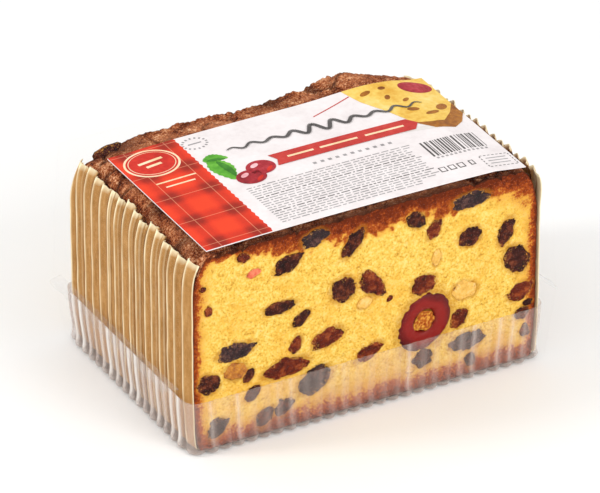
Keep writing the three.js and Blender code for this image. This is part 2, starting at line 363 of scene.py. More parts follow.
def crustTop(x, y):
    crack, plate = crustPlates(x, y)
    lumps = wobble(x, y, 0, 1.5) + 0.5 * wobble(x, y, 3, 0.8) + 0.5 * wobble(x, y, 7, 4)
    atX, atY, spread, depth = crumb["crevice"]
    crevice = depth * bell(math.hypot(x - atX, (y - atY) * 1.6) / spread)
    height = loaf["top"] - 0.5 + crustLift(x, y) + 0.6 * plate + crumb["roughness"] * lumps
    return height - crevice - crumb["crackDepth"] * crack


# Relief of a cut face: height out of the face, and how wet the crumb is next to fruit.
def cutRelief(x, z, face, fruits):
    height = 0.4 * wobble(x, face, z, 3.6) + 0.3 * wobble(x, face, z, 1.2, 5)
    spot = Vector((x, face, z)) / crumb["poreSize"]
    near, centres = noise.voronoi(spot, distance_metric="DISTANCE", exponent=2.5)
    radius = 0.5 * noise.cell(centres[0] * 7.3) - 0.06
    if near[0] < radius:
        height -= crumb["poreDepth"] * (1 - (near[0] / radius) ** 2)
    uneven = 0.16 * wobble(x, face, z, 2.4, 9)
    stain = 0.0
    for fruit in fruits:
        reach = fruitReach(fruit, x, z)
        if reach < 2:
            height -= crumb["pocketDepth"] * (1 - smoothStep(0.55, 0.96, reach + uneven))
            stain = max(stain, 1 - smoothStep(0.95, 1.4, reach + uneven))
    return height, stain


# How browned the crumb is, 0 to 1, by its distance from the crust all round, with painted shade at the top
# right corner.
def browningAndCornerShade(x, z, y):
    side = halfWidth(z) - abs(x)
    foot = z - loaf["foot"]
    under = loaf["top"] + crustLift(x, y) - z
    uneven = 1 + 0.5 * wobble(x, y, z, 7, 2)
    atSides = math.exp(-max(0, side) / (crumb["browned"] * uneven))
    atFoot = 0.95 * math.exp(-max(0, foot) / (crumb["browned"] * 1.6 * uneven))
    band = crumb["brownedTop"] * (0.35 + 0.65 * smoothStep(-52, -26, x)) * uneven
    ragged = under / band + 0.35 * wobble(x, y, z, 2.2, 7)
    atTop = 1 - 0.5 * smoothStep(0.1, 1, ragged) - 0.5 * smoothStep(0.85, 1.25, ragged)
    # Partly real browning, partly painted shade: darker at the loaf's top right edge, under the label's
    # corner.
    corner = bell(math.hypot(67 - x, 76 - z) / (15 + 4 * wobble(x, y, z, 5, 6)))
    return min(1, max(atSides, atFoot, atTop, corner))


def sliceBmesh(index, frontCut, backCut):
    yFront = loaf["front"] + index * loaf["pitch"]
    yBack = yFront + (loaf["thickness"] if backCut else loaf["pitch"] - 0.02)
    columns = round(2 * loaf["halfWidth"] / crumb["gridStep"])
    rows = round((loaf["top"] - loaf["foot"]) / crumb["gridStep"])
    bm = bmesh.new()
    bmesh.ops.create_grid(bm, x_segments=columns, y_segments=rows, size=1)
    if not frontCut and not backCut:
        bmesh.ops.dissolve_faces(bm, faces=bm.faces, use_verts=False)
    grown = bmesh.ops.extrude_face_region(bm, geom=bm.faces[:])
    for vert in (item for item in grown["geom"] if isinstance(item, bmesh.types.BMVert)):
        vert.co.z = 1
    if frontCut != backCut:
        plain = 1 if frontCut else 0
        flat = [face for face in bm.faces if all(abs(v.co.z - plain) < 1e-6 for v in face.verts)]
        bmesh.ops.dissolve_faces(bm, faces=flat, use_verts=False)
    through = [edge for edge in bm.edges if abs(edge.verts[0].co.z - edge.verts[1].co.z) > 0.5]
    bmesh.ops.subdivide_edges(bm, edges=through, cuts=crumb["crustSteps"], use_grid_fill=True)
    brown = bm.verts.layers.float.new("browned")
    wet = bm.verts.layers.float.new("wet")
    skin = bm.verts.layers.float.new("crust")
    for vert in bm.verts:
        u, v, depth = vert.co
        y = yFront + depth * (yBack - yFront)
        x = u * halfWidth(loaf["top"])
        v = (v + 1) / 2
        top = crustTop(x, y)
        z = loaf["foot"] + v * (top - loaf["foot"])
        half = halfWidth(z) - cornerInset(loaf["footRadius"], z - loaf["foot"])
        half -= cornerInset(loaf["crustRadius"], max(0, top - z) + 0.15) + backInset(y, z)
        x = u * half
        vert[brown] = browningAndCornerShade(x, z, y)
        shoulder = abs(u) > 0.999 and z > top - crumb["shoulder"]
        if v > 0.999 or shoulder:
            crack, _ = crustPlates(x, y)
            charredAndShaded = max(bell(math.hypot(x - atX, y - atY) / spread) for atX, atY, spread in crumb["chars"])
            # Painted shade: the crust darker along its front edge, from the left end on, where the label's
            # edge overhangs it.
            charredAndShaded = max(charredAndShaded, smoothStep(4, 0, y - loaf["front"]) * smoothStep(-58, -44, x))
            # Crust value: lower in the cracks between plates, which is painted shade, and at the dark char
            # spots and the shaded front edge.
            vert[skin] = (1 - 0.9 * crack) * (1 - 0.85 * charredAndShaded)
            vert[brown] = 1
            x += math.copysign(crumb["roughness"], x) * (wobble(x, y, z, 1.2, 2) if shoulder else 0)
        if frontCut and depth < 1e-6:
            height, vert[wet] = cutRelief(x, z, yFront, frontFruit + [cherry])
            y -= height * smoothStep(0.0, 1.5, min(halfWidth(z) - abs(x), z - loaf["foot"], top - z) + 0.6)
            sag = smoothStep(crumb["sagHeight"], 0.0, z - loaf["foot"])
            y -= crumb["sag"] * sag
            z -= crumb["sink"] * sag
        if backCut and depth > 1 - 1e-6:
            height, vert[wet] = cutRelief(x, z, yBack, backFruit)
            y += height
        vert.co = (x, y, z)
    bmesh.ops.recalc_face_normals(bm, faces=bm.faces)
    return bm


def makeCrumbMaterial():
    material, tree, shader = newMaterial("cakeCrumb", Roughness=0.85, Specular_IOR_Level=0.12)
    grain = grainMask(tree, 1300, 300, 0.35)
    body = rampNode(tree, grain, [(0.3, "b67e2a"), (0.41, "e2ae44"), (0.5, "f3c758"), (0.66, "fcde86")])
    mottle = addNode(tree, "MapRange", Value=grainMask(tree, 260, 75, 0.6),
                     From_Min=0.5, From_Max=0.66, To_Max=0.5)
    body = mixColour(tree, mottle.outputs["Result"], body, colour("f0b03e"))
    # Painted shade: small darker specks in the crumb stand in for shade in its pores.
    spots = addNode(tree, "TexVoronoi", {"feature": "F1"}, Scale=620.0, Randomness=1.0,
                    Vector=addNode(tree, "TexCoord").outputs["Object"])
    poreShade = mathNode(tree, "LESS_THAN", spots.outputs["Distance"], 0.2)
    faint = mathNode(tree, "MULTIPLY", poreShade, 0.5)
    body = mixColour(tree, faint, body, colour("c48b32"))
    browned = attributeValue(tree, "browned")
    uneven = mathNode(tree, "MULTIPLY", mathNode(tree, "SUBTRACT", grain, 0.5), 2.4)
    amount = mathNode(tree, "ADD", browned, mathNode(tree, "MULTIPLY", uneven, browned), clamp=True)
    baked = rampNode(tree, amount, [(0.0, "f8c858"), (0.3, "e2a03e"), (0.5, "ae501c"),
                                    (0.75, "7e3211"), (1.0, "64260d")])
    body = mixColour(tree, mathNode(tree, "MULTIPLY", amount, 2.2, clamp=True), body, baked)
    wet = mathNode(tree, "MULTIPLY", attributeValue(tree, "wet"), 0.6)
    body = mixColour(tree, wet, body, colour("b0701e"))
    crustTone = rampNode(tree, grainMask(tree, 1500, 230, 0.45),
                         [(0.37, "441807"), (0.44, "7c381a"), (0.5, "9e5530"),
                          (0.56, "c27c50"), (0.63, "eab288")])
    patches = addNode(tree, "MapRange", Value=grainMask(tree, 130, 55, 0.7),
                      From_Min=0.48, From_Max=0.66, To_Max=0.5)
    crustTone = mixColour(tree, patches.outputs["Result"], crustTone, colour("ce8a62"))
    crust = attributeValue(tree, "crust")
    # Near black brown where the crust value is low: the crust's own dark spots, and painted shade in its
    # cracks and along its front edge under the label.
    crustTone = mixColour(tree, crust, colour("371408"), crustTone)
    body = mixColour(tree, mathNode(tree, "GREATER_THAN", crust, 0.02), body, crustTone)
    tree.links.new(body, shader.inputs["Base Color"])
    addBump(tree, shader, grain, 0.55, 0.0009)
    return material


crumbMaterial = makeCrumbMaterial()
for i in range(loaf["slices"]):
    shape = sliceBmesh(i, i == 0, i == loaf["slices"] - 1)
    addPiece(numbered("cakeSlice", i), shape, crumbMaterial, [numbered("slice", i)])
print("loaf cut into", loaf["slices"], "slices")


fruit = {
    "depth": 3.0,
    "proud": 0.3,        # of its cut side over the face
    "outline": 0.25,     # how uneven its outline is
    "ragged": 0.06,      # finer unevenness of the same
    "wrinkle": 0.32,     # height of the folds in its cut side
}


# Adds one wrinkled piece, its cut side nearly flat with the face at y and looking along facing.
def addFruit(bm, place, y, facing, seed, wrinkle=1.0, detail=4):
    made = bmesh.ops.create_icosphere(bm, subdivisions=detail, radius=1)
    turn = Matrix.Rotation(-place["tilt"], 3, "Y")
    rim = bm.verts.layers.float.get("rim")
    for vert in made["verts"]:
        u, out, w = vert.co.x, vert.co.y * facing, vert.co.z
        fromMiddle = min(1, math.hypot(u, w))
        lobes = 1 + fruit["outline"] * (1.4 * wobble(u, 0, w, 0.7, seed) + 0.5 * wobble(u, 0, w, 0.3, seed))
        lobes += fruit["ragged"] * wobble(u, 0, w, 0.13, seed)
        flat = turn @ Vector((u * place["length"] * lobes, 0, w * place["height"] * lobes))
        folds = abs(wobble(flat.x, 0, flat.z, 1.5, seed)) + 0.5 * wobble(flat.x, 0, flat.z, 0.7, seed)
        if out > 0:
            lift = fruit["proud"] * (1 - fromMiddle ** 5) + fruit["wrinkle"] * wrinkle * (folds - 0.2)
        else:
            lift = out * fruit["depth"]
        vert.co = (place["x"] + flat.x, y + facing * lift, place["z"] + flat.z)
        vert[rim] = fromMiddle


def fruitBmesh():
    bm = bmesh.new()
    bm.verts.layers.float.new("rim")
    return bm


# Fruit, with grains of crumb stuck to it here and there and more of them towards its outline.
def makeFruitMaterial(name, stops, roughness, shine=0.15):
    material, tree, shader = newMaterial(name, Roughness=roughness, Specular_IOR_Level=shine)
    grain = grainMask(tree, 900, 260, 0.55)
    tone = rampNode(tree, grain, stops)
    specks = mathNode(tree, "MULTIPLY", grainMask(tree, 2100, 700, 0.4), 1.9)
    stuck = mathNode(tree, "ADD", mathNode(tree, "MULTIPLY", attributeValue(tree, "rim"), 0.45), specks)
    stuck = mathNode(tree, "MULTIPLY", mathNode(tree, "GREATER_THAN", stuck, 1.5), 0.75)
    tree.links.new(mixColour(tree, stuck, tone, colour("c88f3e")), shader.inputs["Base Color"])
    addBump(tree, shader, grain, 0.7, 0.0007)
    return material


raisinBrown = makeFruitMaterial(
    "raisinBrown", [(0.34, "160302"), (0.5, "3c1209"), (0.66, "78391e")], 0.5, 0.14)
raisinRed = makeFruitMaterial(
    "raisinRed", [(0.34, "2c0702"), (0.5, "661f0a"), (0.66, "a44f22")], 0.5, 0.14)
raisinBlue = makeFruitMaterial(
    "raisinBlue", [(0.34, "0e0405"), (0.5, "2c1315"), (0.66, "664038")], 0.5, 0.25)
candiedPale = makeFruitMaterial(
    "candiedPale", [(0.32, "d0942e"), (0.5, "efba54"), (0.68, "f8d288")], 0.35, 0.4)
candiedAmber = makeFruitMaterial(
    "candiedAmber", [(0.32, "7c3a06"), (0.5, "b86e12"), (0.68, "dc9c2c")], 0.35, 0.4)
candiedPink = makeFruitMaterial(
    "candiedPink", [(0.32, "cf4a30"), (0.5, "ee7a55"), (0.68, "f8a27c")], 0.4, 0.3)
redNodes = ("raisin_07", "raisin_09", "raisin_05", "raisin_17", "raisin_12", "raisin_18")
blueNodes = ("raisin_01", "raisin_13", "raisin_08", "raisin_10", "raisin_19", "raisin_20")

for count, (name, place) in enumerate(sorted(nodeFruit.items())):
    shape = fruitBmesh()
    addFruit(shape, place, loaf["front"], -1, count * 3.7 + 1)
    tone = raisinRed if name in redNodes else raisinBlue if name in blueNodes else raisinBrown
    isPeel = name.startswith("candied")
    addPiece(name.replace("_", "") + "Fruit", shape, candiedAmber if isPeel else tone,
             [name])

scatterFinish = {
    "raisin": (raisinBrown, "raisin"),
    "redRaisin": (raisinRed, "raisin"),
    "candied": (candiedPale, "peel"),
    "pinkBit": (candiedPink, "peel"),
}
cutFaces = (("front", frontScatter, loaf["front"], -1), ("back", backScatter, loaf["back"], 1))
for side, scatter, y, facing in cutFaces:
    for kind, items in scatter.items():
        shape = fruitBmesh()
        for count, item in enumerate(items):
            smooth = 0.5 if kind in ("candied", "pinkBit") else 1.0
            addFruit(shape, smallFruit(*item), y, facing, count * 2.3 + 40, smooth, 3)
        finish, slotName = scatterFinish[kind]
        addPiece(side + kind[0].upper() + kind[1:], shape, finish)
print("fruit set into both cut faces")


def cherryRing():
    bm = bmesh.new()
    middle = (1 + cherry["stone"] / cherry["height"]) / 2
    halfRing = (1 - cherry["stone"] / cherry["height"]) / 2
    profile = bmesh.ops.create_circle(bm, segments=20, radius=1)["verts"]
    for vert in profile:
        squareX = math.copysign(abs(vert.co.x) ** 0.6, vert.co.x)
        squareY = math.copysign(abs(vert.co.y) ** 0.45, vert.co.y)
        vert.co = (middle + halfRing * squareX, squareY, 0)
    bmesh.ops.spin(bm, geom=bm.verts[:] + bm.edges[:], cent=(0, 0, 0), axis=(0, 1, 0),
                   angle=2 * math.pi, steps=72, use_merge=True)
    bmesh.ops.remove_doubles(bm, verts=bm.verts, dist=1e-5)
    turn = Matrix.Rotation(-cherry["tilt"], 3, "Y")
    for vert in bm.verts:
        at = vert.co.copy()
        bulge = 1 + 0.05 * wobble(at.x, 0, at.z, 0.8, 6) - 0.05 * at.x + 0.06 * abs(at.x) ** 3
        flat = turn @ Vector((at.x * cherry["length"] * bulge, 0, at.z * cherry["height"] * bulge))
        y = loaf["front"] + 1.9 + at.y * cherry["depth"] + 0.25 * wobble(flat.x, 0, flat.z, 2.5)
        vert.co = (cherry["x"] + flat.x, y, cherry["z"] + flat.z)
    bmesh.ops.recalc_face_normals(bm, faces=bm.faces)
    return bm


def cherryPlug():
    bm = fruitBmesh()
    plug = dict(cherry, length=cherry["stone"] * 1.15, height=cherry["stone"] * 1.05)
    addFruit(bm, plug, loaf["front"] + 0.25, -1, 77, 0.9)
    brown = bm.verts.layers.float.new("browned")
    wet = bm.verts.layers.float.new("wet")
    for vert in bm.verts:
        away = math.hypot(vert.co.x - cherry["x"], vert.co.z - cherry["z"])
        vert[brown] = 0.45 + 0.3 * wobble(vert.co.x, 0, vert.co.z, 0.7)
        vert[wet] = 0.4 * smoothStep(1.4, 3.4, away)
    return bm


def makeCherryMaterial():
    material, tree, shader = newMaterial("candiedCherry", Roughness=0.42, Specular_IOR_Level=0.2)
    place = addNode(tree, "TexCoord").outputs["Object"]
    centre = addNode(tree, "Mapping", Vector=place)
    centre.inputs["Location"].default_value = (-cherry["x"] * mm, 0, -cherry["z"] * mm)
    flat = addNode(tree, "Mapping", Vector=centre.outputs["Vector"])
    flat.inputs["Scale"].default_value = (1, 0, 1)
    away = addNode(tree, "VectorMath", {"operation": "LENGTH"})
    tree.links.new(flat.outputs["Vector"], away.inputs[0])
    share = mathNode(tree, "MULTIPLY", away.outputs["Value"], 1 / (cherry["length"] * mm))
    grain = grainMask(tree, 500, 160, 0.6)
    uneven = mathNode(tree, "MULTIPLY", mathNode(tree, "SUBTRACT", grain, 0.5), 0.7)
    share = mathNode(tree, "ADD", share, uneven)
    tone = rampNode(tree, share, [(0.3, "742a16"), (0.42, "86160e"), (0.66, "8c150e"),
                                  (0.84, "6a0e0d"), (1.0, "440708")])
    tree.links.new(tone, shader.inputs["Base Color"])
    addBump(tree, shader, grain, 0.3, 0.0005)
    return material


addPiece("cherryRing", cherryRing(), makeCherryMaterial(), ["cherry"])
addPiece("cherryStoneCrumb", cherryPlug(), crumbMaterial, ["cherry_crumb"])
print("cherry set")


paper = {
    "thickness": 0.24,
    "gap": 0.35,               # off the crumb
    "standOff": (1.3, 2.8),    # more of that at the top, left and right
    "topSlope": 0.054,         # how fast the right side's tops fall towards the back
    "footStandOff": 0.6,       # and at the foot
    "footRadius": 1.2,
    "flare": 1.2,              # how far the first strip's front edge opens out and forward
    "top": 73,                 # level of its cut edge
    "ragged": 1.3,             # how much that edge wanders
    "bow": (0.8, 1.5),         # least and most that a pleat stands out
    "opening": 1.5,            # going up, how soon a pleat is at its full bow
    "stepsUp": 30,
    "stepsAcross": 26,
    "cornerSteps": 6,
    "underSteps": 12,
}


# The paper's line from the middle of the underside out and up one side: x, z, outward x and z, rise.
def paperStations(side, top):
    stations = []
    radius = paper["footRadius"]
    reach = halfWidth(loaf["foot"]) + paper["footStandOff"] - radius
    for i in range(paper["underSteps"]):
        stations.append((side * reach * i / paper["underSteps"], loaf["foot"], 0, -1, 0))
    for i in range(paper["cornerSteps"]):
        turn = i / paper["cornerSteps"] * math.pi / 2
        x = reach + radius * math.sin(turn)
        z = loaf["foot"] + radius * (1 - math.cos(turn))
        stations.append((side * x, z, side * math.sin(turn), -math.cos(turn), 0))
    start = loaf["foot"] + radius
    for i in range(paper["stepsUp"] + 1):
        z = start + (top - start) * i / paper["stepsUp"]
        x = halfWidth(z) + paper["standOff"][side > 0] * smoothStep(58, paper["top"], z)
        x += paper["footStandOff"] * smoothStep(20, start, z)
        stations.append((side * x, z, side, 0, z / loaf["top"]))
    return stations


def paperBmesh(index):
    yFront = loaf["front"] + index * loaf["pitch"]
    looks = {}
    for side in (-1, 1):
        looks[side] = {
            "bow": random.uniform(*paper["bow"]),
            "lean": random.uniform(1.8, 3.4),
            "crease": random.uniform(0.3, 0.5),
            "depth": random.choice((0, 0, 0.3, 0.55)),
            "shadow": random.uniform(0.5, 1.5),
            "top": paper["top"] + random.uniform(-paper["ragged"], paper["ragged"] * 0.5),
        }
        if side < 0:
            crustLevel = loaf["top"] + crustLift(-62, yFront) - 1.2 + 0.6 * smoothStep(28, 43, yFront)
            looks[side]["top"] = min(looks[side]["top"], crustLevel)
        else:
            looks[side]["top"] += 0.6 - paper["topSlope"] * (yFront - loaf["front"])
    left = paperStations(-1, looks[-1]["top"])
    line = left[:0:-1] + paperStations(1, looks[1]["top"])
    bm = bmesh.new()
    bmesh.ops.create_grid(bm, x_segments=len(line) - 1, y_segments=paper["stepsAcross"], size=1)
    shade = bm.verts.layers.float.new("fold")
    for vert in bm.verts:
        station = line[round((vert.co.x + 1) / 2 * (len(line) - 1))]
        share = (vert.co.y + 1) / 2
        x, z, outX, outZ, rise = station
        look = looks[1 if x > 0 else -1]
        ridge = math.sin(math.pi * share ** look["lean"])
        crease = look["depth"] * bell((share - look["crease"]) / 0.05)
        fullness = 0.5 + 0.5 * smoothStep(0.0, 0.55, rise * paper["opening"])
        fullness += 0.12 * wobble(index * 9, z, 0, 14, x > 0)
        fullness *= smoothStep(0.7, 1, abs(outX))
        out = paper["gap"] + look["bow"] * fullness * max(0, ridge - crease)
        out += 0.12 * wobble(x, index * 7 + share * 3, z, 6, 1)
        edge = 0.9 * (ridge - 0.6) + 0.7 * wobble(share * 4 + index * 5, x, 0, 1.1, 2)
        y = yFront + loaf["thickness"] * share + 0.1
        out -= backInset(y, z)
        if index == 0:
            opened = smoothStep(0.35, 0, share) * smoothStep(0.7, 1, abs(outX))
            out += (0.3 * paper["flare"] if x > 0 else -0.3) * opened
            y -= (0.7 * paper["flare"] if x > 0 else 0.4) * opened
        # Painted light and shade, in the fold attribute: a highlight along each pleat's ridge and beside its
        # second crease, painted shade in the crease and a painted shadow from the strip in front, and a paler
        # cut top edge.
        fold = 0.5 ** (1 / look["lean"])
        light = bell((share - fold - 0.02) / 0.085)
        light += look["depth"] * bell((share - look["crease"] - 0.09) / 0.045)
        dark = 1.1 * crease
        if index:
            shadow = 0.75 * smoothStep(0.14, 0.02, share) + 0.4 * smoothStep(0.4, 0.1, share)
            dark += look["shadow"] * shadow
        else:
            # The first strip has no strip in front: a painted highlight along its front edge, and on the
            # right its inner side painted lighter where it lies in shade.
            dark -= 0.9 * smoothStep(0.09, 0.03, share) + (0.6 * smoothStep(0.5, 0.2, share) if x > 0 else 0)
        lip = 0.9 * smoothStep(look["top"] - 0.9, look["top"] - 0.2, z)
        vert[shade] = light * (0.75 + 0.5 * wobble(index * 3, z, share, 9, 4)) + lip - dark
        vert.co = (x + outX * out, y, z + outZ * min(out, 0.5) + edge * smoothStep(0.9, 0.97, rise))
    bmesh.ops.recalc_face_normals(bm, faces=bm.faces)
    under = [face for face in bm.faces if face.calc_center_median().z < loaf["foot"]]
    if sum(face.normal.z for face in under) > 0:
        bmesh.ops.reverse_faces(bm, faces=bm.faces)
    return bm


def makePaperMaterial():
    material, tree, shader = newMaterial("bakingPaper", Roughness=0.65, Specular_IOR_Level=0.15)
    place = addNode(tree, "TexCoord").outputs["Object"]
    stretched = addNode(tree, "Mapping", Vector=place)
    stretched.inputs["Scale"].default_value = (1, 1, 0.16)
    fibres = addNode(tree, "TexNoise", Vector=stretched.outputs["Vector"], Scale=900.0, Detail=4.0)
    fibres = fibres.outputs["Fac"]
    mottle = grainMask(tree, 700, 90, 0.6)
    mask = mathNode(tree, "MULTIPLY", fibres, 0.4)
    mask = mathNode(tree, "ADD", mask, mathNode(tree, "MULTIPLY", mottle, 0.6))
    tone = rampNode(tree, mask, [(0.3, "996b33"), (0.5, "b48349"), (0.7, "ca9b60")])
    # Painted pleat light and shade: fold lightens the paper towards cream and darkens it towards dark brown.
    fold = attributeValue(tree, "fold")
    light = mathNode(tree, "MULTIPLY", fold, 0.9, clamp=True)
    dark = mathNode(tree, "MULTIPLY", fold, -0.85, clamp=True)
    tone = mixColour(tree, light, tone, colour("fff0c8"))
    tone = mixColour(tree, dark, tone, colour("4e2e14"))
    tree.links.new(tone, shader.inputs["Base Color"])
    addBump(tree, shader, fibres, 0.15, 0.0003)
    return material


paperMaterial = makePaperMaterial()
for i in range(loaf["slices"]):
    strip = addPiece(numbered("paperStrip", i), paperBmesh(i), paperMaterial, [numbered("paper", i)])
    wall = strip.modifiers.new("thickness", "SOLIDIFY")
    wall.thickness = paper["thickness"] * mm
    wall.offset = 1
print("paper pleated")


trayLow, trayHigh = boxInMm("tray")
tray = {
    "halfWidth": trayHigh.x - 2.5,       # at the foot, inside the flare
    "halfDepth": trayHigh.y - 1.7,
    "flareX": 2.2,
    "flareY": 1.4,
    "radius": 5,
    "foot": trayLow.z,
    "height": trayHigh.z - trayLow.z,
    "thickness": 0.22,
    "fluteDepth": 0.8,
    "beadDepth": 1.3,                    # how much more the foot of each flute stands out
    "beadHeight": 5,
    "beadRadius": 1,
    "flutesAlongWidth": 25,
    "flutesAlongDepth": 16,
    "samples": 8,                        # points to a flute
    "levels": (0, 0.01, 0.04, 0.1, 0.17, 0.26, 0.42, 0.62, 0.83, 0.97, 1),   # shares of its height
}


# Plan of the tray as points and outward directions, with each point's share of its flute.
def trayPlan():
    plan = []
    straightX, straightY = tray["halfWidth"] - tray["radius"], tray["halfDepth"] - tray["radius"]
    for side in range(4):
        turn = side * math.pi / 2
        outX, outY = round(math.sin(turn)), -round(math.cos(turn))
        alongX = side % 2 == 0
        run, reach = (straightX, tray["halfDepth"]) if alongX else (straightY, tray["halfWidth"])
        total = tray["samples"] * (tray["flutesAlongWidth"] if alongX else tray["flutesAlongDepth"])
        for i in range(total):
            along = run * (2 * i / total - 1)
            x, y = outX * reach - outY * along, outY * reach + outX * along
            plan.append((x, y, outX, outY, i / tray["samples"]))
        cornerX = straightX * (1 if outX - outY > 0 else -1)
        cornerY = straightY * (1 if outX + outY > 0 else -1)
        for i in range(tray["samples"]):
            bend = turn + i / tray["samples"] * math.pi / 2
            bendX, bendY = math.sin(bend), -math.cos(bend)
            x, y = cornerX + bendX * tray["radius"], cornerY + bendY * tray["radius"]
            plan.append((x, y, bendX, bendY, i / tray["samples"]))
    return plan


def trayBmesh():
    plan = trayPlan()
    bm = bmesh.new()
    milky = bm.verts.layers.float.new("milky")
    ring = bmesh.ops.create_circle(bm, cap_ends=True, segments=len(plan), radius=1)["verts"]
    levels = {vert: 0 for vert in ring}
    placed = {vert: i for i, vert in enumerate(ring)}
    edges = [edge for edge in bm.edges if edge.is_boundary]
    for level in range(1, len(tray["levels"])):
        grown = bmesh.ops.extrude_edge_only(bm, edges=edges)["geom"]
        edges = [item for item in grown if isinstance(item, bmesh.types.BMEdge)]
        for vert in (item for item in grown if isinstance(item, bmesh.types.BMVert)):
            levels[vert] = level
            beside = [edge.other_vert(vert) for edge in vert.link_edges]
            below = next(other for other in beside if levels.get(other) == level - 1)
            placed[vert] = placed[below]
    for vert, number in placed.items():
        x, y, outX, outY, flute = plan[number]
        rise = tray["levels"][levels[vert]]
        z = rise * tray["height"]
        fade = 0.35 + 0.65 * (1 - smoothStep(0.7, 1, rise))
        wave = abs(math.sin(math.pi * flute)) ** 0.8
        beads = tray["beadDepth"] * wave * smoothStep(tray["beadHeight"], 0, z)
        out = tray["fluteDepth"] * wave * fade + beads - cornerInset(tray["beadRadius"], z + 0.1)
        x = (x + outX * out) * (1 + tray["flareX"] * rise / tray["halfWidth"])
        y = (y + outY * out) * (1 + tray["flareY"] * rise / tray["halfDepth"])
        vert.co = (x, y, tray["foot"] + z)
        # Painted highlights: pale streaks down the flutes, of random strength, stronger on the left and right
        # walls.
        fluteSheen = random.Random(number // tray["samples"]).random() ** (2 - 1.4 * abs(outX))
        fluteSheen *= (0.22 + 0.55 * abs(outX)) * bell((flute % 1 - 0.5) / (0.14 + 0.08 * abs(outX)))
        vert[milky] = fluteSheen * smoothStep(0.5, 3, z) + 0.12 * smoothStep(2.4, 0.4, z)
    bmesh.ops.recalc_face_normals(bm, faces=bm.faces)
    if sum(face.normal.z for face in bm.faces if len(face.verts) > 4) > 0:
        bmesh.ops.reverse_faces(bm, faces=bm.faces)
    return bm


# A clear sheet that shows where it is seen at a slant, and lets light straight through elsewhere.
def makeClearMaterial(name, tone, least, most, roughness, haziness=0.0):
    material, tree, shader = newMaterial(name, Roughness=roughness, IOR=1.5)
    slant = addNode(tree, "LayerWeight", Blend=0.35).outputs["Facing"]
    spread = addNode(tree, "MapRange", Value=slant, To_Min=least, To_Max=most).outputs["Result"]
    haze = grainMask(tree, 260, 60, 0.6)
    haze = mathNode(tree, "MULTIPLY", mathNode(tree, "SUBTRACT", haze, 0.45), haziness)
    # milky: real haze at the tray's thicker foot, and painted highlight streaks down its flutes; both whiten
    # the sheet and make it less clear.
    milky = attributeValue(tree, "milky")
    haze = mathNode(tree, "ADD", haze, milky)
    whitened = mathNode(tree, "MULTIPLY", milky, 1.6, clamp=True)
    tree.links.new(mixColour(tree, whitened, colour(tone), colour("eee9e2")), shader.inputs["Base Color"])
    tree.links.new(mathNode(tree, "ADD", spread, haze, clamp=True), shader.inputs["Alpha"])
    return material


trayMaterial = makeClearMaterial("clearTray", "f0dcd2", 0.045, 0.25, 0.15, 0.11)
trayPiece = addPiece("clearTray", trayBmesh(), trayMaterial, ["tray"])
trayWall = trayPiece.modifiers.new("thickness", "SOLIDIFY")
trayWall.thickness = tray["thickness"] * mm
trayWall.offset = -1
print("tray formed")


film = {
    "footHalfWidth": 67.4,
    "rootHalfWidth": 71.6,
    "rootLevel": 27,
    "shoulderHalfWidth": 69.8,
    "shoulderLevel": 60,
    "topHalfWidth": 68.8,
    "halfDepth": 46.4,
    "cornerRadius": 2.5,
    "crinkle": 0.55,
    "columns": 88,
    "rows": 52,
    "finReach": 5.6,
    "finHalfLength": 41,
    "finThickness": 0.12,
    "droopRight": 40,
}


def filmHalfWidth(z):
    points = [(0.2, film["footHalfWidth"]), (film["rootLevel"], film["rootHalfWidth"]),
              (film["shoulderLevel"], film["shoulderHalfWidth"]), (76.2, film["topHalfWidth"])]
    for (z0, w0), (z1, w1) in zip(points, points[1:]):
        if z <= z1:
            return w0 + (w1 - w0) * (z - z0) / (z1 - z0)
    return film["topHalfWidth"]


# The tube: a cube with its faces divided, laid over the pack and crinkled.
def filmBmesh():
    bm = bmesh.new()
    bmesh.ops.create_cube(bm, size=2)
    for axis, cuts in ((0, film["columns"]), (1, film["rows"]), (2, film["rows"])):
        across = [e for e in bm.edges if abs((e.verts[0].co - e.verts[1].co)[axis]) > 1.9]
        bmesh.ops.subdivide_edges(bm, edges=across, cuts=cuts, use_grid_fill=True)
    for vert in bm.verts:
        u, v, w = vert.co
        z = 0.3 + (w + 1) / 2 * 75.9
        x = u * filmHalfWidth(z)
        y = v * film["halfDepth"]
        if w > 0.999:
            z += max(0, crustLift(x, y))
        pull = math.hypot(y / 40, (z - film["rootLevel"]) / 40)
        rays = math.sin(9 * math.atan2(z - film["rootLevel"], y + 0.01)) * bell(pull * 1.2) * min(1, 3 * pull)
        crinkle = film["crinkle"] * (wobble(x, y, z, 9) + 0.5 * wobble(x, y, z, 4, 3))
        if abs(u) > 0.999:
            x += math.copysign(0.7 * rays + crinkle - 0.9, u)
        if abs(v) > 0.999:
            y += math.copysign(0.35 * crinkle - 0.15, v)
        if w > 0.999 and abs(u) < 0.97 and abs(v) < 0.97:
            z += 0.2 * crinkle
        vert.co = (x, y, z)
    bmesh.ops.recalc_face_normals(bm, faces=bm.faces)
    return bm


# Both crimped fins, as thin wavy plates.
def finBmesh():
    bm = bmesh.new()
    for side, droop in ((-1, 0), (1, film["droopRight"])):
        made = bmesh.ops.create_grid(bm, x_segments=16, y_segments=120, size=1)["verts"]
        slope = math.radians(droop)
        for vert in made:
            out = (vert.co.x + 1) / 2
            y = vert.co.y * (film["finHalfLength"] + 2 * (1 - out))
            reach = film["finReach"] / math.cos(slope) * (out + 0.05 * wobble(0, y, 0, 5))
            crimp = 0.16 * math.sin(2 * math.pi * reach / 0.9) * out + 0.9 * out * wobble(side, y, 0, 8)
            x = film["rootHalfWidth"] - 0.4 + reach * math.cos(slope)
            vert.co = (side * x, y, film["rootLevel"] - reach * math.sin(slope) + crimp)
    return bm


